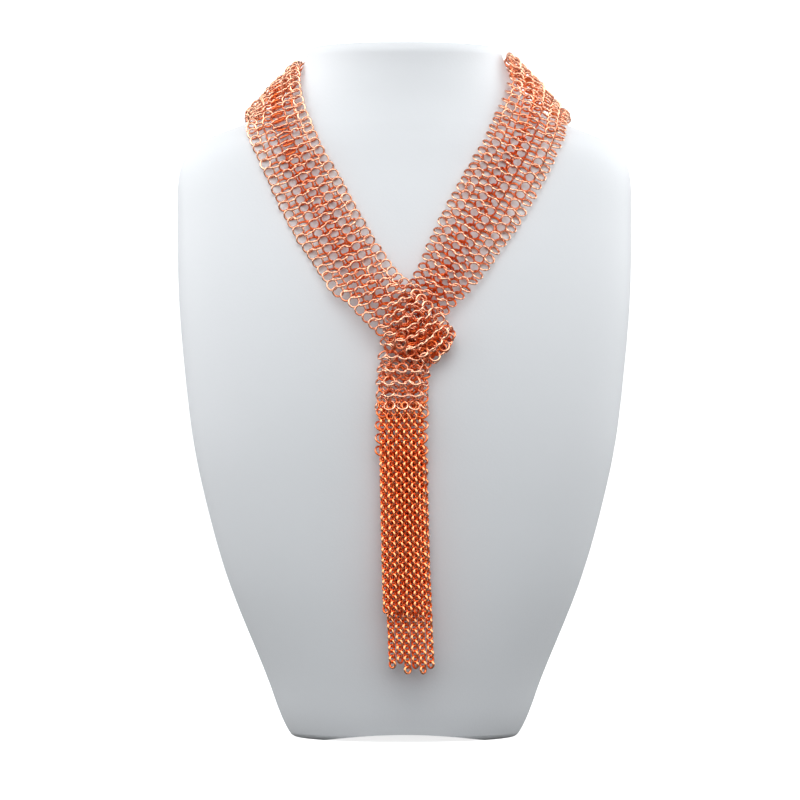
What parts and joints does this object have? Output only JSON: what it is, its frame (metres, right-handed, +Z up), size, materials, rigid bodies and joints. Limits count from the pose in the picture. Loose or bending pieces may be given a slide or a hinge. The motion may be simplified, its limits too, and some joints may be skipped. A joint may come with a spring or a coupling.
{
  "type": "chain lariat necklace on a neck bust",
  "caption": "Wide ring-mesh lariat necklace folded into a loose knot over chain fringes, held on a plain neck bust that stands on its base.",
  "frame": {"origin": "middle of the bounding box's underside, on the surface that the bust stands on", "axes": "+Z up the bust's neck, -Y out of its chest, +X to the right of someone who looks at the chest"},
  "size_m": [0.2042, 0.1238, 0.31],
  "materials": {
    "leatherette": "smooth white leatherette with a soft sheen",
    "copper_rings": "bright rose copper wire rings",
    "copper_links": "bright red copper wire links"
  },
  "bodies": {
    "root": {"neck_bust": "leatherette", "mesh_band": "copper_rings", "mesh_wrap": "copper_rings", "front_mesh_tail": "copper_rings", "rear_mesh_tail": "copper_rings", "front_chain_1": "copper_links", "front_chain_2": "copper_links", "front_chain_3": "copper_links", "front_chain_4": "copper_links", "front_chain_5": "copper_links", "front_chain_6": "copper_links", "rear_chain_1": "copper_links", "rear_chain_2": "copper_links", "rear_chain_3": "copper_links", "rear_chain_4": "copper_links", "rear_chain_5": "copper_links", "rear_chain_6": "copper_links"}
  },
  "joints": []
}
